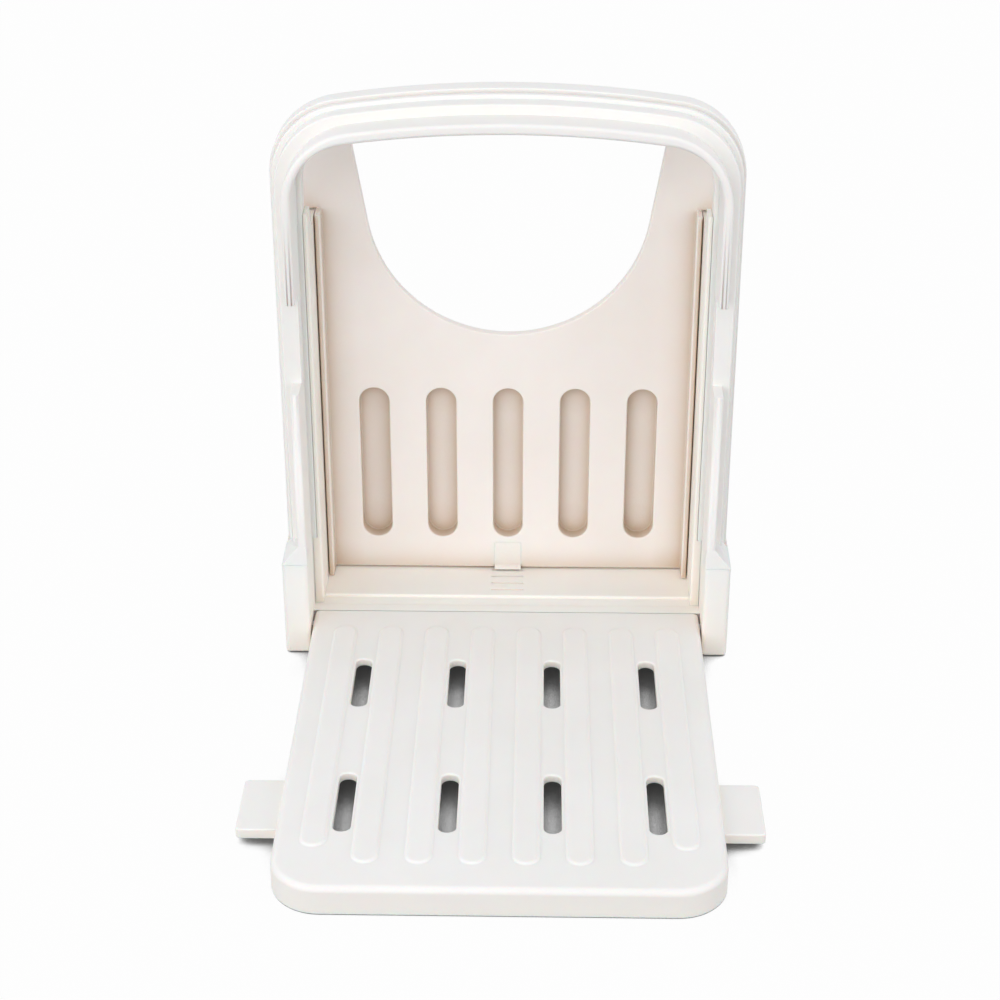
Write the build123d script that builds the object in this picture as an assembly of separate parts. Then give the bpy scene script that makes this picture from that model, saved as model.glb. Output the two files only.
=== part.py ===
from build123d import *
import os
from math import cos, radians, sin, sqrt, tan

# Folding bread slicing guide, in white moulded plastic.
# Millimetres. X runs across the guide, Y from the tray in front to the stop plate behind,
# Z up from the table. The origin is on the table, in the middle of the opened guide.
# Depths ("..._y") are measured backwards from the front face of the base and arch, so
# the tray in front has negative ones.

# ---- base: floor with a raised block along each side -------------------------------------
BASE_WIDTH = 149.0
BASE_DEPTH = 58.0
BASE_LIFT = 0.5
BLOCK_TOP = 34.0
BASE_WALL = 2.5
FLOOR_TOP = 9.5
FLOOR_THICK = 3.0
FLOOR_FRONT_Y = 13.9
REAR_WALL_TOP = 22.0
BLOCK_WIDTH = 8.5
BLOCK_ROUND = 1.5
FOOT_ROUND = 0.75

# ---- opening between the legs, and the knife gap behind the front arch --------------------
OPENING_TOP = 182.4
OPENING_CORNER = 19.0
CROWN_RADIUS = 360.0
KNIFE_GAP_Y = 17.0
KNIFE_GAP = 2.5
KNIFE_GAP_TOP = 147.0
KNIFE_GROOVE_DEPTH = 1.0
KNIFE_GROOVE_RUN = 6.5
KNIFE_GROOVE_ROUND = 0.6

# ---- front arch: a narrow lip, then a wider step behind it --------------------------------
LIP_LEG = 3.0
LIP_RISE = 3.5
LIP_DEPTH = 9.5
STEP_LEG = 5.8
STEP_RISE = 6.8
GUIDE_LEG = 7.2
GUIDE_RISE = 8.1
GUIDE_THICK = 2.0
ARCH_CORNER = 24.0
FLARE_HEIGHT = 7.0
FRONT_ROUND = 1.2
STEP_ROUND = 0.5
TAB_NOTCH_LOW = 96.5
TAB_NOTCH_HIGH = 127.0
SPACER_INSET = 1.5
SEAM = 0.3

# ---- rear frame: a hoop behind the knife gap, with box-section side walls ------------------
FRAME_INSET = 0.3
FRAME_RISE = 8.8
HOOP_DEPTH = 7.5
HOOP_INSET = 1.5
FRAME_ROUND = 1.4
SIDE_WALL_TOP = 143.2
SIDE_SKIN = 2.5
FRAME_BACK_Y = 56.0

# ---- guide rails that line the inside of the side walls -----------------------------------
RAIL_LEDGE = 150.0
RAIL_PROUD = 3.0
RAIL_FIT = 0.1
RAIL_FRONT_ROUND = 0.8

# ---- stop plate: sets how thick the slice is ----------------------------------------------
STOP_FACE_Y = 42.5
STOP_THICK = 3.0
STOP_DROP = 8.4
STOP_CORNER = 12.0
HORN_ROUND = 11.0
STOP_EDGE_ROUND = 0.5
STOP_SIDE_FIT = 0.4
STOP_LIFT = 0.4
STOP_FLANGE = 6.6
STOP_FLANGE_WIDTH = 1.7
SHOULDER_FIT = 0.5
CUTOUT_MARGIN = 19.4
CUTOUT_CENTRE_Z = 146.0
CUTOUT_FLARE = 9.5
POCKETS = 5
POCKET_PITCH = 22.8
POCKET_WIDTH = 10.2
POCKET_LOW = 22.2
POCKET_HIGH = 79.5
POCKET_DEPTH = 5.0
POCKET_WALL = 2.0

# ---- click tongue on the stop plate, and the grooves it drops into ------------------------
CLICKS = 4
CLICK_PITCH = 4.5
CLICK_Y = 41.25
CLICK_WIDTH = 11.2
CLICK_GROOVE = 1.0
CLICK_DEPTH = 0.8
TONGUE_WIDTH = 9.2
TONGUE_THICK = 1.6
TONGUE_TOP = 20.0
TONGUE_GAP = 0.3

# ---- bread tray -----------------------------------------------------------------------------
TRAY_CLEAR = 0.5
TRAY_FRONT_Y = -138.2
TRAY_REAR_Y = 12.4
TRAY_SKIRT_REAR_Y = 10.5
TRAY_TOP = 9.5
TRAY_LIFT = 0.3
TRAY_PLATE = 2.5
TRAY_SKIRT = 2.5
TRAY_CORNER = 15.0
TRAY_EDGE_ROUND = 2.0
RIDGES = 8
RIDGE_MARGIN = 11.6
RIDGE_WIDTH = 8.6
RIDGE_HEIGHT = 0.7
RIDGE_SLOPE = 55.0
RIDGE_BLEND = 1.5
RIDGE_REAR_Y = 2.5
RIDGE_FRONT_Y = -127.4
OUTER_RIDGE_FRONT_Y = -120.0
SLOT_WIDTH = 5.3
SLOT_EDGE_ROUND = 0.6
SLOT_ROWS = [(-46.3, -18.3), (-111.7, -82.8)]
TAB_PROUD = 3.4
TAB_THICK = 3.2
TAB_DROP = 3.4
TAB_FRONT_Y = -107.0
TAB_REAR_Y = -82.0
TAB_ROUND = 1.5
TAB_EDGE_ROUND = 0.5

# ---- hinge ------------------------------------------------------------------------------------
HINGE_Y = 9.0
HINGE_Z = 6.0
HINGE_SWEEP = 5.05
PIN_DIAMETER = 3.0
PIN_RUNNING_FIT = 0.05
PIN_IN_BLOCK = 5.5
PIN_IN_TRAY = 3.4
HINGE_EAR = 4.2

# ---- plugs that seat the arch and frame in the blocks, and the screws -----------------------
PLUG_WIDTH = 5.0
PLUG_DEPTH = 7.0
PLUG_LOW = 16.0
PLUG_FIT = 0.1
FRONT_PLUG_Y = 12.2
REAR_PLUG_Y = 27.0
SCREW_DIAMETER = 2.9
SCREW_HEAD = 5.0
SCREW_HEAD_HEIGHT = 1.8
SCREW_FIT = 0.05
BASE_SCREW_TIP = 26.0
ARCH_SCREW_TIP_Y = 10.5
ARCH_SCREW_DROP = 24.4
ARCH_SCREW_TOP_X = 35.0

# ---- non-slip pads ------------------------------------------------------------------------------
PAD_WIDTH = 5.0
PAD_LENGTH = 14.0
PAD_RECESS = 1.0
PAD_FRONT_INSET = 10.0
PAD_REAR_INSET = 48.0
TRAY_PAD_X = 42.0
TRAY_PAD_HEIGHT = 2.0

# ---- values worked out from the sizes above -------------------------------------------------
FRONT = -(BASE_DEPTH + TRAY_FRONT_Y) / 2
SIDE = BASE_WIDTH / 2
FRAME_WIDTH = BASE_WIDTH - 2 * FRAME_INSET
OPENING_WIDTH = BASE_WIDTH - 2 * BLOCK_WIDTH
OPENING = OPENING_WIDTH / 2
LIP_WIDTH = OPENING_WIDTH + 2 * LIP_LEG
STEP_WIDTH = OPENING_WIDTH + 2 * STEP_LEG
GUIDE_WIDTH = OPENING_WIDTH + 2 * GUIDE_LEG
LIP_TOP = OPENING_TOP + LIP_RISE
STEP_TOP = OPENING_TOP + STEP_RISE
GUIDE_TOP = OPENING_TOP + GUIDE_RISE
FRAME_TOP = OPENING_TOP + FRAME_RISE
STOP_TOP = OPENING_TOP - STOP_DROP
GAP_REAR_Y = KNIFE_GAP_Y + KNIFE_GAP
HOOP_BACK_Y = GAP_REAR_Y + HOOP_DEPTH
RAIL_INNER = OPENING - RAIL_PROUD
HOOP_INNER = OPENING - HOOP_INSET
STOP_SIDE = RAIL_INNER - STOP_SIDE_FIT
STOP_LOW = FLOOR_TOP + STOP_LIFT
CUTOUT_RADIUS = OPENING - CUTOUT_MARGIN
TRAY_SIDE = OPENING - TRAY_CLEAR
TAB_SPAN = BASE_WIDTH + 2 * TAB_PROUD
RIDGE_PITCH = 2 * (TRAY_SIDE - RIDGE_MARGIN) / (RIDGES - 1)
PLUG_X = (OPENING + SIDE) / 2
GUIDE_FRONT_Y = KNIFE_GAP_Y - GUIDE_THICK
OVER = 1.0  # how far a cut runs past a face, or a joined piece runs into its neighbour


def depth(y):
    """Row Y of a depth measured back from the front face."""
    return FRONT + y


def block(x, y, z):
    """A box from (low, high) spans across, behind the front face, and up."""
    size = (x[1] - x[0], y[1] - y[0], z[1] - z[0])
    centre = ((x[0] + x[1]) / 2, depth((y[0] + y[1]) / 2), (z[0] + z[1]) / 2)
    return Pos(*centre) * Box(*size)


def upright(face, y0, y1):
    """An upright face, drawn in X and Z, made solid between two depths."""
    back = Plane(origin=(0, depth(y1), 0), x_dir=(1, 0, 0), z_dir=(0, -1, 0))
    return extrude(back * face, amount=y1 - y0)


def rod(radius, start, direction, length):
    """A round bar from a start point along a direction."""
    return extrude(Plane(origin=start, z_dir=direction) * Circle(radius), amount=length)


def both_sides(shape):
    """A shape and its mirror image across the middle of the guide."""
    return Part() + [shape, mirror(shape, about=Plane.YZ)]


def crown(top, x):
    """Height of a crowned top edge at a distance from the middle."""
    return top - (CROWN_RADIUS - sqrt(CROWN_RADIUS**2 - x**2))


def arch_face(width, top, corner, foot):
    """Arch outline: straight legs, round corners and a slightly crowned top."""
    half = width / 2
    shoulder = crown(top, half)
    edges = [
        Line((-half, foot), (-half, shoulder)),
        ThreePointArc((-half, shoulder), (0, top), (half, shoulder)),
        Line((half, shoulder), (half, foot)),
        Line((half, foot), (-half, foot)),
    ]
    face = make_face(Curve() + edges)
    return fillet(face.vertices().group_by(Axis.Y)[-1], corner)


def arch_ring(width, top, foot, inset=0.0):
    """An arch outline, less the opening that the loaf and the folded tray share."""
    opening = arch_face(OPENING_WIDTH - 2 * inset, OPENING_TOP - inset, OPENING_CORNER, foot - OVER)
    return arch_face(width, top, ARCH_CORNER, foot) - opening


def rounded_face(solid, side, radius):
    """An upright with the edges of its front (0) or back (-1) face rounded above the foot."""
    edges = solid.faces().sort_by(Axis.Y)[side].edges()
    return fillet(edges.filter_by(lambda edge: edge.center().Z > BLOCK_TOP + OVER), radius)


def plug(y, fit=0.0):
    """The peg that seats an upright in its block, or its socket with a fit added."""
    x = (PLUG_X - PLUG_WIDTH / 2 - fit, PLUG_X + PLUG_WIDTH / 2 + fit)
    span = (y - PLUG_DEPTH / 2 - fit, y + PLUG_DEPTH / 2 + fit)
    return block(x, span, (PLUG_LOW - fit, BLOCK_TOP + fit))


def base_screw(y, fit=0.0):
    """A self-tapping screw up through the block into a plug, or its hole with a fit added."""
    seat = BASE_LIFT + PAD_RECESS
    shank = rod(SCREW_DIAMETER / 2 + fit, (PLUG_X, depth(y), seat), (0, 0, 1), BASE_SCREW_TIP - seat + fit)
    head = rod(SCREW_HEAD / 2 + fit, (PLUG_X, depth(y), seat), (0, 0, 1), SCREW_HEAD_HEIGHT + fit)
    return shank + head


def arch_screw_places():
    """Centres of the four screws that hold the front arch to the rear frame."""
    side_x = (OPENING + STEP_WIDTH / 2) / 2
    top_z = (crown(OPENING_TOP, ARCH_SCREW_TOP_X) + crown(STEP_TOP, ARCH_SCREW_TOP_X)) / 2
    right = [(side_x, OPENING_TOP - ARCH_SCREW_DROP), (ARCH_SCREW_TOP_X, top_z)]
    return right + [(-x, z) for x, z in right]


def arch_screw(x, z, fit=0.0):
    """A screw forward through the rear frame into the front arch, or its hole."""
    start = (x, depth(HOOP_BACK_Y), z)
    shank = rod(SCREW_DIAMETER / 2 + fit, start, (0, -1, 0), HOOP_BACK_Y - ARCH_SCREW_TIP_Y + fit)
    head = rod(SCREW_HEAD / 2 + fit, start, (0, -1, 0), SCREW_HEAD_HEIGHT + fit)
    return shank + head


def hinge_rod(fit=0.0):
    """The right hinge pin, or the hole it turns in."""
    start = (OPENING - PIN_IN_TRAY - fit, depth(HINGE_Y), HINGE_Z)
    return rod(PIN_DIAMETER / 2 + fit, start, (1, 0, 0), PIN_IN_TRAY + PIN_IN_BLOCK + fit)


def base_pad(y, grow=0.0):
    """A non-slip pad under the right block."""
    x = (PLUG_X - PAD_WIDTH / 2 - grow, PLUG_X + PAD_WIDTH / 2 + grow)
    return block(x, (y - PAD_LENGTH / 2, y + PAD_LENGTH / 2), (0, BASE_LIFT + PAD_RECESS))


def pad_places():
    """Depths of the two pads under each block."""
    return [PAD_FRONT_INSET, PAD_REAR_INSET]


def make_base():
    """Floor, side blocks, low rear wall, sockets, knife groove and click grooves."""
    side = block((OPENING, SIDE), (0, BASE_DEPTH), (BASE_LIFT, BLOCK_TOP))
    side = fillet(side.edges().filter_by(Axis.Z), BLOCK_ROUND)
    side = fillet(side.faces().sort_by(Axis.Z)[0].edges(), FOOT_ROUND)
    across = (-OPENING, OPENING)
    floor = block(across, (FLOOR_FRONT_Y, BASE_DEPTH), (BASE_LIFT, FLOOR_TOP))
    floor += block(across, (HINGE_Y, FLOOR_FRONT_Y + OVER), (HINGE_Z, FLOOR_TOP))
    floor -= rod(HINGE_SWEEP, (-OPENING, depth(HINGE_Y), HINGE_Z), (1, 0, 0), OPENING_WIDTH)
    hollow_y = (FLOOR_FRONT_Y + BASE_WALL, BASE_DEPTH - BASE_WALL)
    hollow = block(across, hollow_y, (0, FLOOR_TOP - FLOOR_THICK))
    rear = block(across, (BASE_DEPTH - BASE_WALL, BASE_DEPTH), (BASE_LIFT, REAR_WALL_TOP))
    base = floor - hollow + rear + side + mirror(side, about=Plane.YZ)

    groove_low = FLOOR_TOP - KNIFE_GROOVE_DEPTH
    groove_y = (KNIFE_GAP_Y, KNIFE_GAP_Y + KNIFE_GROOVE_RUN)
    base -= block(across, groove_y, (groove_low, BLOCK_TOP))
    rims = base.edges().filter_by(Axis.X).filter_by_position(Axis.Z, FLOOR_TOP - SEAM, FLOOR_TOP + SEAM)
    rims = rims.filter_by_position(Axis.Y, depth(groove_y[0] - SEAM), depth(groove_y[1] + SEAM))
    base = fillet(rims, KNIFE_GROOVE_ROUND)
    knife_x = (OPENING - OVER, SIDE + OVER)
    base -= both_sides(block(knife_x, (KNIFE_GAP_Y, GAP_REAR_Y), (groove_low, BLOCK_TOP + OVER)))
    for step in range(CLICKS):
        y = CLICK_Y - step * CLICK_PITCH
        groove = (y - CLICK_GROOVE / 2, y + CLICK_GROOVE / 2)
        click_x = (-CLICK_WIDTH / 2, CLICK_WIDTH / 2)
        base -= block(click_x, groove, (FLOOR_TOP - CLICK_DEPTH, FLOOR_TOP + OVER))

    cuts = hinge_rod()
    for y in (FRONT_PLUG_Y, REAR_PLUG_Y):
        cuts += plug(y, PLUG_FIT) + base_screw(y, SCREW_FIT)
        cuts += rod(SCREW_HEAD / 2 + SCREW_FIT, (PLUG_X, depth(y), 0), (0, 0, 1), BASE_LIFT + PAD_RECESS)
    for y in pad_places():
        cuts += base_pad(y, SCREW_FIT)
    return base - both_sides(cuts)


def make_base_screws():
    """Four screws, two under each block."""
    right = [base_screw(y) for y in (FRONT_PLUG_Y, REAR_PLUG_Y)]
    return right + [mirror(screw, about=Plane.YZ) for screw in right]


def make_base_pads():
    """Four non-slip pads, two under each block."""
    right = [base_pad(y) for y in pad_places()]
    return right + [mirror(pad, about=Plane.YZ) for pad in right]


def make_front_arch():
    """The arch that faces the user, notched for the tray's tabs."""
    lip = upright(arch_ring(LIP_WIDTH, LIP_TOP, BLOCK_TOP), 0, GUIDE_FRONT_Y)
    step = upright(arch_ring(STEP_WIDTH, STEP_TOP, BLOCK_TOP), LIP_DEPTH, GUIDE_FRONT_Y)
    flare_face = make_face(
        Polyline(
            (OPENING, BLOCK_TOP),
            (SIDE, BLOCK_TOP),
            (LIP_WIDTH / 2, BLOCK_TOP + FLARE_HEIGHT),
            (OPENING, BLOCK_TOP + FLARE_HEIGHT),
            close=True,
        )
    )
    flare = upright(flare_face, 0, GUIDE_FRONT_Y)
    arch = rounded_face(lip, 0, FRONT_ROUND) + rounded_face(step, 0, STEP_ROUND)
    arch += both_sides(flare + plug(FRONT_PLUG_Y))
    notch = block((OPENING - OVER, SIDE), (-OVER, LIP_DEPTH), (TAB_NOTCH_LOW, TAB_NOTCH_HIGH))
    arch -= both_sides(notch + base_screw(FRONT_PLUG_Y))
    for x, z in arch_screw_places():
        arch -= arch_screw(x, z)
    return arch


def make_knife_guide():
    """Facing behind the front arch that the blade runs against, with the spacer above the gap."""
    plate = upright(arch_ring(GUIDE_WIDTH, GUIDE_TOP, BLOCK_TOP), GUIDE_FRONT_Y, KNIFE_GAP_Y)
    spacer_width = GUIDE_WIDTH - 2 * SPACER_INSET
    spacer_face = arch_ring(spacer_width, GUIDE_TOP - SPACER_INSET, KNIFE_GAP_TOP)
    guide = rounded_face(plate, 0, STEP_ROUND) + upright(spacer_face, KNIFE_GAP_Y, GAP_REAR_Y - SEAM)
    for x, z in arch_screw_places():
        guide -= arch_screw(x, z, SCREW_FIT)
    return guide


def make_rear_frame():
    """Hoop behind the knife gap, with the outer skins and tops of the side walls."""
    hoop = upright(arch_ring(FRAME_WIDTH, FRAME_TOP, BLOCK_TOP, HOOP_INSET), GAP_REAR_Y, HOOP_BACK_Y)
    hoop = rounded_face(rounded_face(hoop, 0, STEP_ROUND), -1, FRAME_ROUND)
    outer = FRAME_WIDTH / 2
    side_y = (HOOP_BACK_Y - FRAME_ROUND, FRAME_BACK_Y)
    wall = block((OPENING, outer), side_y, (BLOCK_TOP, SIDE_WALL_TOP))
    rear_edges = wall.edges().filter_by(Axis.Z).group_by(Axis.Y)[-1].sort_by(Axis.X)[-1]
    wall = fillet(rear_edges, BLOCK_ROUND)
    hollow_x = (OPENING - OVER, outer - SIDE_SKIN)
    hollow_y = (HOOP_BACK_Y, FRAME_BACK_Y - SIDE_SKIN)
    wall -= block(hollow_x, hollow_y, (BLOCK_TOP - OVER, SIDE_WALL_TOP - SIDE_SKIN))
    foot_x = (PLUG_X - PLUG_WIDTH / 2, outer - OVER)
    foot_y = (HOOP_BACK_Y - OVER, HOOP_BACK_Y + PLUG_DEPTH / 2)
    foot = block(foot_x, foot_y, (BLOCK_TOP, BLOCK_TOP + SIDE_SKIN))
    frame = hoop + both_sides(wall + foot + plug(REAR_PLUG_Y))
    frame -= both_sides(base_screw(REAR_PLUG_Y))
    for x, z in arch_screw_places():
        frame -= arch_screw(x, z, SCREW_FIT)
    return frame


def make_guide_rail():
    """Right inner rail: lines the hoop up to a ledge, then the side wall the stop plate slides past."""
    rear_y = BASE_DEPTH - BASE_WALL - RAIL_FIT
    hoop_y = (GAP_REAR_Y, HOOP_BACK_Y + RAIL_FIT)
    lining = block((RAIL_INNER, HOOP_INNER - RAIL_FIT), hoop_y, (BLOCK_TOP, RAIL_LEDGE))
    face_x = (RAIL_INNER, OPENING - RAIL_FIT)
    wall = block(face_x, (HOOP_BACK_Y + RAIL_FIT, rear_y), (BLOCK_TOP, SIDE_WALL_TOP - RAIL_FIT))
    low = block(face_x, (GAP_REAR_Y, rear_y), (FLOOR_TOP, BLOCK_TOP))
    rail = lining + wall + low
    front = rail.edges().filter_by(Axis.Z).group_by(Axis.Y)[0].group_by(Axis.X)[0]
    rail = fillet(front, RAIL_FRONT_ROUND)
    foot_y = (GAP_REAR_Y, KNIFE_GAP_Y + KNIFE_GROOVE_RUN)
    return rail + block(face_x, foot_y, (FLOOR_TOP - KNIFE_GROOVE_DEPTH, FLOOR_TOP + OVER))


def cutout_face():
    """U-shaped cut-out: a round bottom with sides that spread a little to the top."""
    lean = radians(CUTOUT_FLARE)
    x = CUTOUT_RADIUS * cos(lean)
    z = CUTOUT_CENTRE_Z - CUTOUT_RADIUS * sin(lean)
    high = STOP_TOP + OVER
    spread = x + (high - z) * tan(lean)
    bottom = CUTOUT_CENTRE_Z - CUTOUT_RADIUS
    edges = [
        Line((-spread, high), (-x, z)),
        ThreePointArc((-x, z), (0, bottom), (x, z)),
        Line((x, z), (spread, high)),
        Line((spread, high), (-spread, high)),
    ]
    return make_face(Curve() + edges)


def pocket_face(grow=0.0):
    """The row of upright round-ended pockets, or their walls when grown."""
    height = POCKET_HIGH - POCKET_LOW + 2 * grow
    slot = SlotOverall(height, POCKET_WIDTH + 2 * grow, rotation=90)
    middle = (POCKET_LOW + POCKET_HIGH) / 2
    places = [Pos((n - (POCKETS - 1) / 2) * POCKET_PITCH, middle) for n in range(POCKETS)]
    return Sketch() + [place * slot for place in places]


def tongue_slot():
    """Window in the foot of the stop plate that the click tongue fills."""
    half = TONGUE_WIDTH / 2
    return block((-half, half), (STOP_FACE_Y, STOP_FACE_Y + TONGUE_THICK), (STOP_LOW - OVER, TONGUE_TOP))


def stop_outline():
    """Front outline of the stop plate: narrow below, wide shoulders, and the U cut-out between horns."""
    shoulder = SIDE_WALL_TOP + SHOULDER_FIT
    lower = Pos(0, (STOP_LOW + shoulder + OVER) / 2) * Rectangle(2 * STOP_SIDE, shoulder + OVER - STOP_LOW)
    upper = Pos(0, (shoulder + STOP_TOP) / 2) * Rectangle(FRAME_WIDTH, STOP_TOP - shoulder)
    outline = lower + upper - cutout_face()
    corners = outline.vertices().group_by(Axis.Y)[-1].sort_by(Axis.X)
    outline = fillet([corners[0], corners[-1]], STOP_CORNER)
    corners = outline.vertices().group_by(Axis.Y)[-1].sort_by(Axis.X)
    return fillet(corners[1:-1], HORN_ROUND)


def make_stop():
    """Stop plate with its shoulders, U cut-out, pockets and side flanges."""
    plate = upright(stop_outline() - pocket_face(), STOP_FACE_Y, STOP_FACE_Y + STOP_THICK)
    plate = fillet(plate.faces().sort_by(Axis.Y)[0].edges(), STOP_EDGE_ROUND)
    tub_back = STOP_FACE_Y + POCKET_DEPTH
    tubs = upright(pocket_face(POCKET_WALL), STOP_FACE_Y + STOP_EDGE_ROUND, tub_back + POCKET_WALL)
    plate += tubs - upright(pocket_face(), STOP_FACE_Y, tub_back)
    flange_x = (STOP_SIDE - STOP_FLANGE_WIDTH, STOP_SIDE)
    flange_y = (STOP_FACE_Y - STOP_FLANGE, STOP_FACE_Y + OVER)
    flange = block(flange_x, flange_y, (STOP_LOW, SIDE_WALL_TOP + SHOULDER_FIT))
    front = flange.faces().sort_by(Axis.Y)[0].edges().filter_by(Axis.Z)
    plate += both_sides(fillet(front, STOP_EDGE_ROUND))
    return plate - tongue_slot()


def make_tongue():
    """Springy click tongue set into the foot of the stop plate, drawn lifted clear of the grooves."""
    tip = FLOOR_TOP + TONGUE_GAP
    face = Polyline(
        (STOP_FACE_Y + TONGUE_THICK, TONGUE_TOP),
        (STOP_FACE_Y, TONGUE_TOP),
        (STOP_FACE_Y, STOP_LOW + TONGUE_THICK),
        (CLICK_Y - CLICK_GROOVE / 2, tip + TONGUE_GAP),
        (CLICK_Y - CLICK_GROOVE / 4, tip),
        (CLICK_Y + CLICK_GROOVE / 4, tip),
        (STOP_FACE_Y + TONGUE_THICK, STOP_LOW),
        close=True,
    )
    side = Plane(origin=(-TONGUE_WIDTH / 2, FRONT, 0), x_dir=(0, 1, 0), z_dir=(1, 0, 0))
    return extrude(side * make_face(face), amount=TONGUE_WIDTH)


def tray_outline(inset, rear):
    """Plan outline of the tray, with round front corners."""
    front = TRAY_FRONT_Y + inset
    width = 2 * (TRAY_SIDE - inset)
    face = Pos(0, depth((front + rear) / 2)) * Rectangle(width, rear - front)
    return fillet(face.vertices().group_by(Axis.Y)[0], TRAY_CORNER - inset)


def tray_ridge(n):
    """One low lengthwise ridge with sloped sides; the two outer ones end early, at the round corners."""
    x = (n - (RIDGES - 1) / 2) * RIDGE_PITCH
    front = OUTER_RIDGE_FRONT_Y if n in (0, RIDGES - 1) else RIDGE_FRONT_Y
    length = RIDGE_REAR_Y - front
    run = SlotOverall(length, RIDGE_WIDTH, rotation=90)
    ridge = extrude(run, amount=RIDGE_HEIGHT, taper=RIDGE_SLOPE)
    ridge = fillet(ridge.faces().sort_by(Axis.Z)[-1].edges(), RIDGE_BLEND)
    return Pos(x, depth((front + RIDGE_REAR_Y) / 2), TRAY_TOP) * ridge


def tray_slots():
    """Two rows of crumb slots, between every second pair of ridges."""
    cuts = Sketch()
    for low, high in SLOT_ROWS:
        for n in range(0, RIDGES, 2):
            x = (n + 0.5 - (RIDGES - 1) / 2) * RIDGE_PITCH
            slot = SlotOverall(high - low, SLOT_WIDTH, rotation=90)
            cuts += Pos(x, depth((low + high) / 2)) * slot
    return extrude(cuts, amount=TRAY_TOP + OVER)


def make_tray():
    """Ribbed bread tray: top plate, skirt, ridges, slots, tabs and hinge ears."""
    skirt_height = TRAY_TOP - TRAY_LIFT
    body = extrude(Pos(0, 0, TRAY_LIFT) * tray_outline(0, TRAY_SKIRT_REAR_Y), amount=skirt_height)
    rear_y = (TRAY_SKIRT_REAR_Y - OVER, TRAY_REAR_Y)
    body += block((-TRAY_SIDE, TRAY_SIDE), rear_y, (TRAY_TOP - TRAY_PLATE, TRAY_TOP))
    top_edges = body.faces().sort_by(Axis.Z)[-1].edges().sort_by(Axis.Y)
    body = fillet(top_edges[:-1], TRAY_EDGE_ROUND)
    hollow_rear = TRAY_SKIRT_REAR_Y - TRAY_SKIRT
    body -= extrude(tray_outline(TRAY_SKIRT, hollow_rear), amount=TRAY_TOP - TRAY_PLATE)
    body -= tray_slots()
    rims = [edge for wire in body.faces().sort_by(Axis.Z)[-1].inner_wires() for edge in wire.edges()]
    body = fillet(rims, SLOT_EDGE_ROUND)
    ear_x = (TRAY_SIDE - HINGE_EAR, TRAY_SIDE)
    ear_y = (HINGE_Y - 2 * PIN_DIAMETER, TRAY_SKIRT_REAR_Y - RAIL_FIT)
    ear = block(ear_x, ear_y, (TRAY_LIFT, TRAY_TOP - TRAY_PLATE + OVER))
    tab_z = (TRAY_TOP - TAB_DROP - TAB_THICK, TRAY_TOP - TAB_DROP)
    tab = block((TRAY_SIDE - OVER, TAB_SPAN / 2), (TAB_FRONT_Y, TAB_REAR_Y), tab_z)
    tab = fillet(tab.edges().filter_by(Axis.Z).group_by(Axis.X)[-1], TAB_ROUND)
    tab = fillet(tab.faces().sort_by(Axis.Z)[-1].edges(), TAB_EDGE_ROUND)
    body += both_sides(ear + tab)
    for x in (-TRAY_PAD_X, TRAY_PAD_X):
        body += tray_pad_seat(x)
    for n in range(RIDGES):
        body += tray_ridge(n)
    body -= both_sides(hinge_rod(PIN_RUNNING_FIT))
    for x in (-TRAY_PAD_X, TRAY_PAD_X):
        body -= tray_pad(x, SCREW_FIT)
    return body


def tray_pad_seat(x):
    """Boss behind the front skirt that holds a pad."""
    y = (TRAY_FRONT_Y + OVER, TRAY_FRONT_Y + PAD_WIDTH + 2 * TRAY_SKIRT)
    span = (x - PAD_LENGTH / 2 - TRAY_SKIRT, x + PAD_LENGTH / 2 + TRAY_SKIRT)
    return block(span, y, (TRAY_LIFT, TRAY_TOP - TRAY_PLATE + OVER))


def tray_pad(x, grow=0.0):
    """Non-slip pad under the front of the tray, or its recess."""
    y = (TRAY_FRONT_Y + TRAY_SKIRT - grow, TRAY_FRONT_Y + TRAY_SKIRT + PAD_WIDTH + grow)
    return block((x - PAD_LENGTH / 2 - grow, x + PAD_LENGTH / 2 + grow), y, (0, TRAY_PAD_HEIGHT))


RAIL = make_guide_rail()
PIN = hinge_rod()

PIECES = {
    "base_body": [make_base()],
    "base_screws": make_base_screws(),
    "base_pads": make_base_pads(),
    "front_arch": [make_front_arch()],
    "front_knife_guide": [make_knife_guide()],
    "rear_frame": [make_rear_frame()],
    "arch_screws": [arch_screw(x, z) for x, z in arch_screw_places()],
    "right_guide_rail": [RAIL],
    "left_guide_rail": [mirror(RAIL, about=Plane.YZ)],
    "thickness_stop": [make_stop()],
    "click_tongue": [make_tongue()],
    "bread_tray": [make_tray()],
    "tray_pads": [tray_pad(x) for x in (-TRAY_PAD_X, TRAY_PAD_X)],
    "right_hinge_pin": [PIN],
    "left_hinge_pin": [mirror(PIN, about=Plane.YZ)],
}

os.makedirs("parts", exist_ok=True)
for name, solids in PIECES.items():
    piece = Compound(children=[solid for shape in solids for solid in shape.solids()])
    export_step(piece, f"parts/{name}.step")
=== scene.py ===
from math import atan, radians

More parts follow.
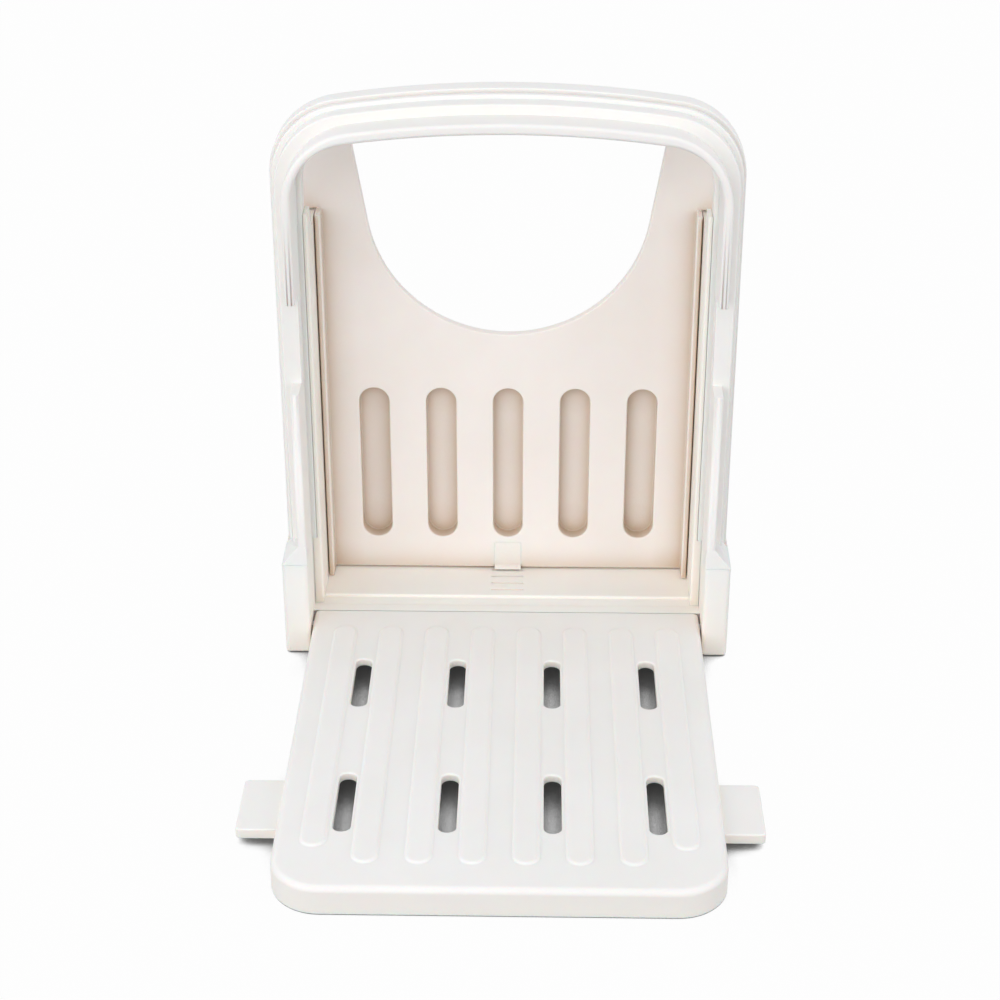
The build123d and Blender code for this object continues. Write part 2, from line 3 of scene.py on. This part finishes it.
import bmesh
import bpy
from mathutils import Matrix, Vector


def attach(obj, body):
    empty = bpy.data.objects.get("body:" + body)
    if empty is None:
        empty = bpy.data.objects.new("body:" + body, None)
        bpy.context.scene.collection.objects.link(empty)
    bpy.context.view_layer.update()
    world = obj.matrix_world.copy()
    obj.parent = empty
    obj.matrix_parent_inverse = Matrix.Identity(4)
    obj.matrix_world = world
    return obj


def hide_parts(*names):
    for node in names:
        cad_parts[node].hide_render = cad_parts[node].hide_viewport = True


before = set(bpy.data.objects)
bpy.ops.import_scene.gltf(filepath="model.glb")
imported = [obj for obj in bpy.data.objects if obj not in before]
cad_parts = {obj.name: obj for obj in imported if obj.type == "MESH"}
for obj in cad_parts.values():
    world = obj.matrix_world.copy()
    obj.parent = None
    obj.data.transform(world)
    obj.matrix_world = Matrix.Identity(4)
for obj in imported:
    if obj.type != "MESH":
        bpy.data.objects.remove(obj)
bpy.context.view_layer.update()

# ---- Base -------------------------------------------------------------------------------------
# The floor and the block at each side are one ABS moulding, open underneath. It comes off a
# spark-eroded tool, so its satin skin has a very fine grain, and the edges are only just broken.
MM = 0.001
NOISE_RANGE = (0.3, 0.7)  # nearly all of a noise's values lie between these
CLOUD_SIZE = 34 * MM
CLOUD_RANGE = (0.35, 0.65)
PAINTED_NOOK_LIGHT_RANGE = (0.9, 0.25)  # the share of open air where the painted nook light and shade start, and where they are full
BROKEN_EDGE = 0.25 * MM
WORN_HIGHLIT_EDGE = 0.7 * MM
WORN_HIGHLIT_RANGE = (0.995, 0.88)  # the cosine of the skin's turn where wear and the painted edge highlight start, and where they are full
WORN_HIGHLIT_SHARE = 0.6
WORN_POLISH = -0.15
HAIRLINE_SIZE = 4 * MM
HAIRLINE_WIDTH = 0.012
HAIRLINE_DULLING = 0.09
FLOW_SIZE = 11 * MM
FLOW_SHINE = 0.04
FLOW_DULLING = 0.05
GRAIN_SIZE = 0.5 * MM  # the real grain is about 0.08 mm, too fine to show, so it is drawn coarser
BUMP_STRENGTH = 0.3
PLASTIC_IOR = 1.53
SCATTER_SHARE = 0.25
SCATTER_DEPTH = 2.5 * MM
WELD_DISTANCE = 0.001 * MM
FLAT_ANGLE = 0.3
ROUNDING_ANGLE = 34


def linear(code):
    """An sRGB hex colour as linear RGBA."""
    parts = [int(code[i:i + 2], 16) / 255 for i in (0, 2, 4)]
    return [c / 12.92 if c <= 0.04045 else ((c + 0.055) / 1.055) ** 2.4 for c in parts] + [1]


def add(tree, kind, settings=None, links=None):
    """A node with its settings and socket values set and its inputs linked."""
    node = tree.nodes.new(kind)
    for key, value in (settings or {}).items():
        if isinstance(key, int) or key in node.inputs:
            node.inputs[key].default_value = value
        else:
            setattr(node, key, value)
    for key, output in (links or {}).items():
        tree.links.new(output, node.inputs[key])
    return node


def new_material(name):
    """A material with its own node tree, emptied, and its output node."""
    material = bpy.data.materials.new(name)
    material.use_nodes = True
    material.node_tree.nodes.clear()
    return material, material.node_tree, add(material.node_tree, "ShaderNodeOutputMaterial")


def moulded_plastic(name, body, cloudy, painted_nook_light, reach, worn_highlit, roughness, grain_depth, strokes):
    """Moulded plastic: clouded, with painted light and shade in its nooks, edges lightened by wear
    and a painted highlight, with hairlines and grain.
    """
    material, tree, out = new_material(name)
    place = add(tree, "ShaderNodeTexCoord").outputs["Object"]
    cloud = add(
        tree, "ShaderNodeTexNoise",
        {"Scale": 1 / CLOUD_SIZE, "Detail": 3.0},
        {"Vector": place},
    )
    cloud = add(
        tree, "ShaderNodeMapRange",
        {"From Min": CLOUD_RANGE[0], "From Max": CLOUD_RANGE[1]},
        {"Value": cloud.outputs["Fac"]},
    )
    tint = add(
        tree, "ShaderNodeMix",
        {"data_type": "RGBA", 6: linear(body), 7: linear(cloudy)},
        {0: cloud.outputs["Result"]},
    )
    # Painted light and shade: where ambient occlusion finds walls close by, the colour turns
    # towards the nook colour, which stands in for warm light bounced between the walls in some
    # materials and for shade in others.
    open_air = add(tree, "ShaderNodeAmbientOcclusion", {"samples": 6, "Distance": reach})
    painted_nook_share = add(
        tree, "ShaderNodeMapRange",
        {"From Min": PAINTED_NOOK_LIGHT_RANGE[0], "From Max": PAINTED_NOOK_LIGHT_RANGE[1]},
        {"Value": open_air.outputs["AO"]},
    )
    tint = add(
        tree, "ShaderNodeMix",
        {"data_type": "RGBA", 7: linear(painted_nook_light)},
        {0: painted_nook_share.outputs["Result"], 6: tint.outputs[2]},
    )
    normal = add(tree, "ShaderNodeNewGeometry").outputs["Normal"]
    # Edges: the colour lightens along them as rubbed wear and as a painted highlight, and the gloss
    # rises there with the wear.
    wide_edge = add(tree, "ShaderNodeBevel", {"samples": 4, "Radius": WORN_HIGHLIT_EDGE})
    turn = add(
        tree, "ShaderNodeVectorMath",
        {"operation": "DOT_PRODUCT"},
        {0: normal, 1: wide_edge.outputs["Normal"]},
    )
    worn_highlit_edge = add(
        tree, "ShaderNodeMapRange",
        {"From Min": WORN_HIGHLIT_RANGE[0], "From Max": WORN_HIGHLIT_RANGE[1], "To Max": WORN_HIGHLIT_SHARE},
        {"Value": turn.outputs["Value"]},
    )
    colour = add(
        tree, "ShaderNodeMix",
        {"data_type": "RGBA", 7: linear(worn_highlit)},
        {0: worn_highlit_edge.outputs["Result"], 6: tint.outputs[2]},
    )
    stretch = add(tree, "ShaderNodeMapping", {"Scale": strokes}, {"Vector": place})
    line = add(
        tree, "ShaderNodeTexNoise",
        {"Scale": 1 / HAIRLINE_SIZE, "Detail": 0.0},
        {"Vector": stretch.outputs["Vector"]},
    )
    middle = add(
        tree, "ShaderNodeMath",
        {"operation": "SUBTRACT", 1: 0.5},
        {0: line.outputs["Fac"]},
    )
    middle = add(tree, "ShaderNodeMath", {"operation": "ABSOLUTE"}, {0: middle.outputs["Value"]})
    hairline = add(
        tree, "ShaderNodeMapRange",
        {"From Max": HAIRLINE_WIDTH, "To Min": HAIRLINE_DULLING, "To Max": 0.0},
        {"Value": middle.outputs["Value"]},
    )
    flow = add(
        tree, "ShaderNodeTexNoise",
        {"Scale": 1 / FLOW_SIZE, "Detail": 3.0},
        {"Vector": place},
    )
    flow = add(
        tree, "ShaderNodeMapRange",
        {
            "From Min": NOISE_RANGE[0], "From Max": NOISE_RANGE[1],
            "To Min": roughness - FLOW_SHINE, "To Max": roughness + FLOW_DULLING,
        },
        {"Value": flow.outputs["Fac"]},
    )
    wiped = add(
        tree, "ShaderNodeMath",
        {"operation": "ADD"},
        {0: flow.outputs["Result"], 1: hairline.outputs["Result"]},
    )
    polished = add(
        tree, "ShaderNodeMath",
        {"operation": "MULTIPLY_ADD", 1: WORN_POLISH},
        {0: worn_highlit_edge.outputs["Result"], 2: wiped.outputs["Value"]},
    )
    grain = add(
        tree, "ShaderNodeTexNoise",
        {"Scale": 1 / GRAIN_SIZE, "Detail": 1.0},
        {"Vector": place},
    )
    soft_edge = add(tree, "ShaderNodeBevel", {"samples": 4, "Radius": BROKEN_EDGE})
    bump = add(
        tree, "ShaderNodeBump",
        {"Strength": BUMP_STRENGTH, "Distance": grain_depth},
        {"Height": grain.outputs["Fac"], "Normal": soft_edge.outputs["Normal"]},
    )
    surface = add(
        tree, "ShaderNodeBsdfPrincipled",
        {
            "IOR": PLASTIC_IOR,
            "Subsurface Weight": SCATTER_SHARE, "Subsurface Scale": SCATTER_DEPTH,
        },
        {
            "Base Color": colour.outputs[2],
            "Roughness": polished.outputs["Value"],
            "Normal": bump.outputs["Normal"],
        },
    )
    tree.links.new(surface.outputs["BSDF"], out.inputs["Surface"])
    return material


def moulding(node, name, material, body):
    """A merged copy of the node's mesh, shaded as one moulded skin."""
    bpy.ops.object.select_all(action="DESELECT")
    piece = bpy.data.objects.new(name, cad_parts[node].data.copy())
    bpy.context.collection.objects.link(piece)
    piece.data.materials.clear()
    piece.data.materials.append(material)
    piece.select_set(True)
    bpy.context.view_layer.objects.active = piece
    bpy.ops.object.mode_set(mode="EDIT")
    bpy.ops.mesh.select_all(action="SELECT")
    bpy.ops.mesh.remove_doubles(threshold=WELD_DISTANCE)
    bpy.ops.mesh.dissolve_limited(angle_limit=radians(FLAT_ANGLE))
    bpy.ops.object.mode_set(mode="OBJECT")
    bpy.ops.object.shade_smooth_by_angle(angle=radians(ROUNDING_ANGLE))
    weighted = piece.modifiers.new("flat_faces_stay_flat", "WEIGHTED_NORMAL")
    weighted.keep_sharp = True
    bpy.ops.object.modifier_apply(modifier=weighted.name)
    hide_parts(node)
    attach(piece, body)


# ABS, injection moulded with a satin skin: it throws back a broad soft highlight, is painted
# creamier where its walls close in to stand for light bounced warm between them, and lightens where
# hands rub its edges, with a painted edge highlight on top of the wear.
base_abs = moulded_plastic(
    "abs_base_moulded", body="EFEEEA", cloudy="ECEBE6", painted_nook_light="F9EFE5", reach=26 * MM,
    worn_highlit="F5F5F1", roughness=0.46, grain_depth=0.02 * MM, strokes=(0.05, 1.0, 1.0),
)
moulding("base_body", "base_moulding", base_abs, "frame")

# ---- Front arch and knife facing ----------------------------------------------------------------
# Two more ABS mouldings. The arch is plugged and screwed into the blocks, and the thin facing
# behind it has a smooth rear face that the bread knife slides down.

# ABS, injection moulded: the base's satin skin, from a slightly greyer batch, wiped up and down.
# The painted bounce light where its steps close in is kept faint, so it stays nearly neutral there,
# and its edges carry wear with a painted highlight.
satin_abs = moulded_plastic(
    "abs_satin_moulded", body="EDECEA", cloudy="EAE9E6", painted_nook_light="F0EDE8", reach=12 * MM,
    worn_highlit="F1F1EF", roughness=0.5, grain_depth=0.02 * MM, strokes=(1.0, 1.0, 0.05),
)
moulding("front_arch", "front_arch_moulding", satin_abs, "frame")
moulding("front_knife_guide", "knife_facing", satin_abs, "frame")

# ---- Rear frame ---------------------------------------------------------------------------------
# The hoop behind the knife gap and the side walls that reach back from it, one ABS moulding with
# thin hollow walls. It is screwed to the blocks from below and to the front arch from behind.
moulding("rear_frame", "rear_frame_moulding", satin_abs, "frame")

# ---- Guide rails --------------------------------------------------------------------------------
# A lining of acetal on each side wall, harder and slicker than the ABS, pushed in from inside so
# that the stop plate runs easily. Sliding has left hairlines along it.

# Acetal, moulded: a waxy, slightly creamy white with a low sheen, painted warmer where walls close
# in to stand for bounced light, and with a painted highlight over the wear on its edges.
slick_acetal = moulded_plastic(
    "acetal_moulded", body="F4F0EA", cloudy="F1ECE4", painted_nook_light="F5EADC", reach=12 * MM,
    worn_highlit="F7F4EF", roughness=0.45, grain_depth=0.01 * MM, strokes=(1.0, 0.05, 1.0),
)
moulding("left_guide_rail", "left_rail_lining", slick_acetal, "frame")
moulding("right_guide_rail", "right_rail_lining", slick_acetal, "frame")

# ---- Stop plate ---------------------------------------------------------------------------------
# The plate that the loaf leans on, with blind pockets that stiffen it, and the springy tongue in
# its foot. Both are moulded from a creamier, finely matt ABS.

# ABS, injection moulded with a matt skin: soft and even, with next to no highlight. Its pockets and
# other nooks are painted a deep tan, painted shade warmed like bounced light, and its edges lighten
# with wear and a painted highlight.
matt_abs = moulded_plastic(
    "abs_matt_moulded", body="F2ECE7", cloudy="EFE8E2", painted_nook_light="C4A98B", reach=11 * MM,
    worn_highlit="F5F0EA", roughness=0.52, grain_depth=0.03 * MM, strokes=(0.05, 1.0, 1.0),
)
moulding("thickness_stop", "stop_plate", matt_abs, "stop")
moulding("click_tongue", "stop_tongue", matt_abs, "stop")

# ---- Tray ---------------------------------------------------------------------------------------
# The ribbed crumb tray, one ABS moulding that folds up between the legs. It is wiped across after
# each use.

# ABS, injection moulded: the base's satin skin with a slightly deeper grain, and longer marks
# across the ridges. It is painted creamier in its nooks for bounced light, and its edges carry wear
# with a painted highlight.
tray_abs = moulded_plastic(
    "abs_tray_moulded", body="EAE9E7", cloudy="E7E6E3", painted_nook_light="F5EEE5", reach=26 * MM,
    worn_highlit="F0F0ED", roughness=0.46, grain_depth=0.025 * MM, strokes=(0.04, 1.0, 1.0),
)
moulding("bread_tray", "ribbed_tray", tray_abs, "tray")

# ---- Hinge pins ---------------------------------------------------------------------------------
# Plain steel pins, cut from drawn wire and chamfered at both ends. One is pressed into each block,
# and the tray turns on it.
PIN_RADIUS = 1.5 * MM
PIN_LENGTH = 8.9 * MM
PIN_CHAMFER = 0.35 * MM
PIN_MIDDLE = (67.05 * MM, 49.1 * MM, 6.0 * MM)
STEEL_PATCH = 3 * MM
STEEL_LINE = 0.3 * MM  # the real lines are far finer, so they are drawn coarser to show
STEEL_LINE_DEPTH = 0.01 * MM
STEEL_SHINE = 0.06
STEEL_DULLING = 0.08
SMOOTH_ANGLE = 35
EDGE_ANGLE = 50


def metal_finish(name, bright, dull, roughness, line_stretch):
    """Bare or plated steel: patchy colour, drawn or rolled lines in the gloss and a little bump."""
    material, tree, out = new_material(name)
    place = add(tree, "ShaderNodeTexCoord").outputs["Object"]
    patch = add(
        tree, "ShaderNodeTexNoise",
        {"Scale": 1 / STEEL_PATCH, "Detail": 4.0},
        {"Vector": place},
    )
    tint = add(
        tree, "ShaderNodeMix",
        {"data_type": "RGBA", 6: linear(bright), 7: linear(dull)},
        {0: patch.outputs["Fac"]},
    )
    stretch = add(tree, "ShaderNodeMapping", {"Scale": line_stretch}, {"Vector": place})
    drawn = add(
        tree, "ShaderNodeTexNoise",
        {"Scale": 1 / STEEL_LINE, "Detail": 2.0},
        {"Vector": stretch.outputs["Vector"]},
    )
    rough = add(
        tree, "ShaderNodeMapRange",
        {
            "From Min": NOISE_RANGE[0], "From Max": NOISE_RANGE[1],
            "To Min": roughness - STEEL_SHINE, "To Max": roughness + STEEL_DULLING,
        },
        {"Value": drawn.outputs["Fac"]},
    )
    bump = add(
        tree, "ShaderNodeBump",
        {"Strength": BUMP_STRENGTH, "Distance": STEEL_LINE_DEPTH},
        {"Height": drawn.outputs["Fac"]},
    )
    surface = add(
        tree, "ShaderNodeBsdfPrincipled",
        {"Metallic": 1.0},
        {
            "Base Color": tint.outputs[2],
            "Roughness": rough.outputs["Result"],
            "Normal": bump.outputs["Normal"],
        },
    )
    tree.links.new(surface.outputs["BSDF"], out.inputs["Surface"])
    return material


def finish(piece, name, material, body, node):
    """Settles a piece at the origin, gives it its name, material and body, and hides the CAD node
    it stands for.
    """
    piece.name = name
    bpy.ops.object.select_all(action="DESELECT")
    piece.select_set(True)
    bpy.context.view_layer.objects.active = piece
    bpy.ops.object.transform_apply(location=True, rotation=True, scale=True)
    bpy.ops.object.shade_smooth_by_angle(angle=radians(SMOOTH_ANGLE))
    piece.data.materials.clear()
    piece.data.materials.append(material)
    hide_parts(node)
    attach(piece, body)


def round_edges(piece, width):
    """Breaks the sharp edges of a piece with a bevel that is applied."""
    bevel = piece.modifiers.new("broken_edges", "BEVEL")
    bevel.width = width
    bevel.segments = 2
    bevel.limit_method = "ANGLE"
    bevel.angle_limit = radians(EDGE_ANGLE)
    bpy.context.view_layer.objects.active = piece
    bpy.ops.object.modifier_apply(modifier=bevel.name)


# Steel wire, cold drawn: bright grey, with fine lines along the pin.
drawn_steel = metal_finish(
    "steel_drawn", bright="B9BABC", dull="9C9DA0", roughness=0.3, line_stretch=(0.1, 1.0, 1.0),
)
for side, name in ((1, "right_hinge_pin"), (-1, "left_hinge_pin")):
    bpy.ops.object.select_all(action="DESELECT")
    bpy.ops.mesh.primitive_cylinder_add(
        vertices=32, radius=PIN_RADIUS, depth=PIN_LENGTH, rotation=(0, radians(90), 0),
        location=(side * PIN_MIDDLE[0], PIN_MIDDLE[1], PIN_MIDDLE[2]),
    )
    pin = bpy.context.object
    round_edges(pin, PIN_CHAMFER)
    finish(pin, f"{name}_steel", drawn_steel, "frame", name)

# ---- Screws -------------------------------------------------------------------------------------
# Self-tapping screws with a rounded pan head and a cross recess, zinc plated. Four go up into the
# plugs of the arch and frame, and four go forward through the hoop, with their heads at the back.
BASE_SCREW = 24.5 * MM
ARCH_SCREW = 16.5 * MM
HEAD_RADIUS = 2.45 * MM
HEAD_HEIGHT = 1.8 * MM
HEAD_ROUND = 0.6 * MM
RECESS_BOX = (3.0 * MM, 0.65 * MM, 2.0 * MM)
NECK_LENGTH = 0.6 * MM
ROOT_RADIUS = 1.0 * MM
CREST_RADIUS = 1.42 * MM
THREAD_PITCH = 1.1 * MM
THREAD_FLANK = 0.42 * THREAD_PITCH
THREAD_CREST = 0.16 * THREAD_PITCH
POINT_LENGTH = 1.6 * MM
POINT_TAPER = 0.3


def select_faces(piece, wanted):
    """Selects, in edit mode, the faces whose centre and normal pass a test."""
    bpy.ops.mesh.select_mode(type="FACE")
    bpy.ops.mesh.select_all(action="DESELECT")
    mesh = bmesh.from_edit_mesh(piece.data)
    for face in mesh.faces:
        face.select_set(wanted(face.calc_center_median(), face.normal))
    mesh.select_flush_mode()
    bmesh.update_edit_mesh(piece.data)


def pull_ring(height, scale):
    """Extrudes the selected end face along the screw and scales it."""
    bpy.ops.mesh.extrude_region_move(TRANSFORM_OT_translate={"value": (0, 0, height)})
    bpy.ops.transform.resize(value=(scale, scale, 1))


def self_tapping_screw(length):
    """A screw along +Z, with the face of its head at the origin."""
    bpy.ops.object.select_all(action="DESELECT")
    bpy.ops.mesh.primitive_cylinder_add(
        vertices=24, radius=HEAD_RADIUS, depth=HEAD_HEIGHT, location=(0, 0, HEAD_HEIGHT / 2),
    )
    screw = bpy.context.object
    bpy.ops.object.transform_apply(location=True)
    bpy.ops.object.mode_set(mode="EDIT")
    select_faces(screw, lambda centre, normal: normal.z < -0.9)
    bpy.ops.mesh.bevel(offset=HEAD_ROUND, segments=4, profile=0.6)
    select_faces(screw, lambda centre, normal: normal.z > 0.9)
    bpy.ops.mesh.inset(thickness=HEAD_RADIUS - ROOT_RADIUS)
    pull_ring(NECK_LENGTH, 1)
    turns = int((length - HEAD_HEIGHT - NECK_LENGTH - POINT_LENGTH) / THREAD_PITCH)
    for _ in range(turns):
        pull_ring(THREAD_FLANK, CREST_RADIUS / ROOT_RADIUS)
        pull_ring(THREAD_CREST, 1)
        pull_ring(THREAD_FLANK, ROOT_RADIUS / CREST_RADIUS)
    pull_ring(length - HEAD_HEIGHT - NECK_LENGTH - turns * THREAD_PITCH, POINT_TAPER)
    bpy.ops.object.mode_set(mode="OBJECT")
    for quarter in (0, 90):
        bpy.ops.object.select_all(action="DESELECT")
        bpy.ops.mesh.primitive_cube_add(
            size=1, scale=RECESS_BOX, rotation=(0, 0, radians(quarter)),
        )
        cutter = bpy.context.object
        recess = screw.modifiers.new("recess", "BOOLEAN")
        recess.object = cutter
        bpy.context.view_layer.objects.active = screw
        bpy.ops.object.modifier_apply(modifier=recess.name)
        bpy.data.objects.remove(cutter)
    return screw


def place_set(piece, places, turned):
    """Puts a piece at its first place in mm, and a copy at each other one, joined as one set."""
    copies = [piece] + [bpy.data.objects.new(piece.name, piece.data.copy()) for _ in places[1:]]
    bpy.ops.object.select_all(action="DESELECT")
    for copy, place in zip(copies, places):
        if copy is not piece:
            bpy.context.collection.objects.link(copy)
        copy.location = [value * MM for value in place]
        copy.rotation_euler = [radians(angle) for angle in turned]
        copy.select_set(True)
    bpy.context.view_layer.objects.active = piece
    bpy.ops.object.join()
    return piece


# Steel, rolled and zinc plated: pale grey with a faintly cloudy, half-bright skin.
zinc_plate = metal_finish(
    "steel_zinc_plated", bright="C9CBCD", dull="A9ACB0", roughness=0.36,
    line_stretch=(1.0, 1.0, 1.0),
)
base_set = place_set(
    self_tapping_screw(BASE_SCREW),
    [(70.25, 52.3, 1.5), (70.25, 67.1, 1.5), (-70.25, 52.3, 1.5), (-70.25, 67.1, 1.5)],
    turned=(0, 0, 0),
)
finish(base_set, "base_screw_set", zinc_plate, "frame", "base_screws")
arch_set = place_set(
    self_tapping_screw(ARCH_SCREW),
    [(68.9, 67.1, 158.0), (35.0, 67.1, 184.09), (-68.9, 67.1, 158.0), (-35.0, 67.1, 184.09)],
    turned=(90, 0, 0),
)
finish(arch_set, "arch_screw_set", zinc_plate, "frame", "arch_screws")

# ---- Non-slip pads ------------------------------------------------------------------------------
# Grey-white thermoplastic rubber, moulded as small blocks with a ribbed foot and pressed into
# recesses: four under the blocks and two under the front of the tray.
PAD_LENGTH = 14 * MM
PAD_WIDTH = 5 * MM
BASE_PAD_HEIGHT = 1.5 * MM
TRAY_PAD_HEIGHT = 2 * MM
PAD_BORDER = 0.8 * MM
PAD_RIBS = 7
PAD_GROOVE = 0.35 * MM
PAD_EDGE = 0.1 * MM


def grip_pad(height):
    """A pad along X with its foot on the table and grooves across the foot."""
    bpy.ops.object.select_all(action="DESELECT")
    bpy.ops.mesh.primitive_cube_add(
        size=1, location=(0, 0, height / 2), scale=(PAD_LENGTH, PAD_WIDTH, height),
    )
    pad = bpy.context.object
    bpy.ops.object.transform_apply(location=True, rotation=True, scale=True)
    bpy.ops.object.mode_set(mode="EDIT")
    select_faces(pad, lambda centre, normal: normal.z < -0.9)
    bpy.ops.mesh.inset(thickness=PAD_BORDER)
    strips = 2 * PAD_RIBS - 1
    strip = (PAD_LENGTH - 2 * PAD_BORDER) / strips
    start = PAD_BORDER - PAD_LENGTH / 2
    for n in range(1, strips):
        bpy.ops.mesh.select_all(action="SELECT")
        bpy.ops.mesh.bisect(plane_co=(start + n * strip, 0, 0), plane_no=(1, 0, 0))
    for n in range(1, strips, 2):
        middle = start + (n + 0.5) * strip
        select_faces(
            pad,
            lambda centre, normal: normal.z < -0.9 and abs(centre.x - middle) < strip / 4
            and abs(centre.y) < PAD_BORDER and centre.z < PAD_GROOVE / 2,
        )
        bpy.ops.mesh.extrude_region_move(TRANSFORM_OT_translate={"value": (0, 0, PAD_GROOVE)})
    bpy.ops.object.mode_set(mode="OBJECT")
    round_edges(pad, PAD_EDGE)
    return pad


# Thermoplastic rubber, moulded: quite matt, greyer than the plastic, with a fine dry grain. It is
# painted darker in its grooves as painted shade, and its edges carry wear with a painted highlight.
grip_rubber = moulded_plastic(
    "rubber_moulded", body="CDCCC8", cloudy="C3C2BD", painted_nook_light="B9B6B0", reach=3 * MM,
    worn_highlit="D6D5D1", roughness=0.72, grain_depth=0.04 * MM, strokes=(1.0, 1.0, 1.0),
)
foot_set = place_set(
    grip_pad(BASE_PAD_HEIGHT),
    [(70.25, 50.1, 0), (70.25, 88.1, 0), (-70.25, 50.1, 0), (-70.25, 88.1, 0)],
    turned=(0, 0, 90),
)
finish(foot_set, "base_pad_set", grip_rubber, "frame", "base_pads")
tray_set = place_set(
    grip_pad(TRAY_PAD_HEIGHT),
    [(-42.0, -93.1, 0), (42.0, -93.1, 0)],
    turned=(0, 0, 0),
)
finish(tray_set, "tray_pad_set", grip_rubber, "tray", "tray_pads")

# ---- Floor and light ----------------------------------------------------------------------------
# A sheet of matt paper under the guide, in a white room with three softboxes. The paper is mid
# grey, and a glow makes the camera and reflections see it as nearly pure white. Near and under the
# guide an occlusion mask fades the glow out, so there the grey paper shows its shadow, deepened by
# painted shade.
PAPER_SIDE = 8
SHADED_PAPER_GREY = "8E8E8D"
PAPER_GLOW = 0.98
COVERED_GLOW = 0.02
COVER_REACH = 40 * MM
COVER_RANGE = (0.25, 0.5)  # the share of open air where the glow starts over the painted shade, and where it is full
FIBRE_SIZE = 0.4 * MM  # a real fibre is far finer, so it is drawn coarser to show
FIBRE_DEPTH = 0.02 * MM
ROOM_COLOUR = "FBFCFF"
ROOM_FILL = 0.81
LAMP_AIM = Vector((0, 0.02, 0.08))


def seen_directly(tree):
    """1 to the camera, in a reflection or through glass, and 0 to the light that it gives."""
    path = add(tree, "ShaderNodeLightPath")
    seen = add(
        tree, "ShaderNodeMath",
        {"operation": "MAXIMUM"},
        {0: path.outputs["Is Camera Ray"], 1: path.outputs["Is Glossy Ray"]},
    )
    seen = add(
        tree, "ShaderNodeMath",
        {"operation": "MAXIMUM"},
        {0: seen.outputs["Value"], 1: path.outputs["Is Transmission Ray"]},
    )
    return seen.outputs["Value"]


def softbox(name, place, size, power):
    """A square softbox, aimed at the middle of the guide."""
    lamp = bpy.data.lights.new(name, "AREA")
    lamp.shape = "SQUARE"
    lamp.size = size
    lamp.energy = power
    box = bpy.data.objects.new(name, lamp)
    bpy.context.collection.objects.link(box)
    box.location = place
    box.rotation_euler = (LAMP_AIM - Vector(place)).to_track_quat("-Z", "Y").to_euler()


bpy.ops.object.select_all(action="DESELECT")
bpy.ops.mesh.primitive_plane_add(size=PAPER_SIDE, location=(0, 0, 0))
floor = bpy.context.object
floor.name = "paper_floor"

# Paper, uncoated and matt: mid grey with the faintest nap, seen white through a glow except where
# an occlusion mask paints shade near and under the guide.
paper, tree, out = new_material("paper_matt_white")
# Painted shade: ambient occlusion fades the white glow out near and under the guide, leaving the
# grey paper.
covered = add(tree, "ShaderNodeAmbientOcclusion", {"samples": 8, "Distance": COVER_REACH})
glow_outside_painted_shade = add(
    tree, "ShaderNodeMapRange",
    {
        "From Min": COVER_RANGE[0], "From Max": COVER_RANGE[1],
        "To Min": COVERED_GLOW, "To Max": PAPER_GLOW,
    },
    {"Value": covered.outputs["AO"]},
)
share = add(
    tree, "ShaderNodeMath",
    {"operation": "MULTIPLY"},
    {0: seen_directly(tree), 1: glow_outside_painted_shade.outputs["Result"]},
)
fibre = add(
    tree, "ShaderNodeTexNoise",
    {"Scale": 1 / FIBRE_SIZE, "Detail": 2.0},
    {"Vector": add(tree, "ShaderNodeTexCoord").outputs["Object"]},
)
nap = add(
    tree, "ShaderNodeBump",
    {"Strength": 0.1, "Distance": FIBRE_DEPTH},
    {"Height": fibre.outputs["Fac"]},
)
sheet = add(
    tree, "ShaderNodeBsdfPrincipled",
    {"Base Color": linear(SHADED_PAPER_GREY), "Roughness": 0.9},
    {"Normal": nap.outputs["Normal"]},
)
glow = add(tree, "ShaderNodeEmission", {"Color": (1, 1, 1, 1), "Strength": 1.0})
blend = add(
    tree, "ShaderNodeMixShader", {},
    {0: share.outputs["Value"], 1: sheet.outputs["BSDF"], 2: glow.outputs["Emission"]},
)
tree.links.new(blend.outputs["Shader"], out.inputs["Surface"])
floor.data.materials.append(paper)

world = bpy.data.worlds.new("white_room")
bpy.context.scene.world = world
world.use_nodes = True
tree = world.node_tree
tree.nodes.clear()
fill = add(tree, "ShaderNodeBackground", {"Color": linear(ROOM_COLOUR), "Strength": ROOM_FILL})
white = add(tree, "ShaderNodeBackground", {"Color": (1, 1, 1, 1), "Strength": 1.0})
mixed = add(
    tree, "ShaderNodeMixShader", {},
    {0: seen_directly(tree), 1: fill.outputs[0], 2: white.outputs[0]},
)
add(tree, "ShaderNodeOutputWorld", {}, {"Surface": mixed.outputs["Shader"]})

softbox("key_softbox", place=(-0.30, -0.90, 0.50), size=0.9, power=3.6)
softbox("left_softbox", place=(-0.80, -0.42, 0.34), size=0.8, power=2.1)
softbox("right_softbox", place=(0.80, -0.42, 0.34), size=0.8, power=2.3)

# ---- Camera -------------------------------------------------------------------------------------
# A short telephoto view, from 0.57 m in front and 0.38 m up, turned about 1 degree. Its field of
# view is worked out from the photo's side and focal length, both in pixels.
PHOTO_SIDE = 1000
FOCAL_PIXELS = 2122
VIEW_PLACE = (9.2 * MM, -570.2 * MM, 383.3 * MM)
VIEW_TILT = 62.05
VIEW_TURN = 1.05
view = bpy.data.cameras.new("camera")
view.angle = 2 * atan(PHOTO_SIDE / 2 / FOCAL_PIXELS)
camera = bpy.data.objects.new("camera", view)
bpy.context.collection.objects.link(camera)
camera.location = VIEW_PLACE
camera.rotation_euler = (radians(VIEW_TILT), 0, radians(VIEW_TURN))
bpy.context.scene.camera = camera
bpy.context.scene.view_settings.view_transform = "Standard"
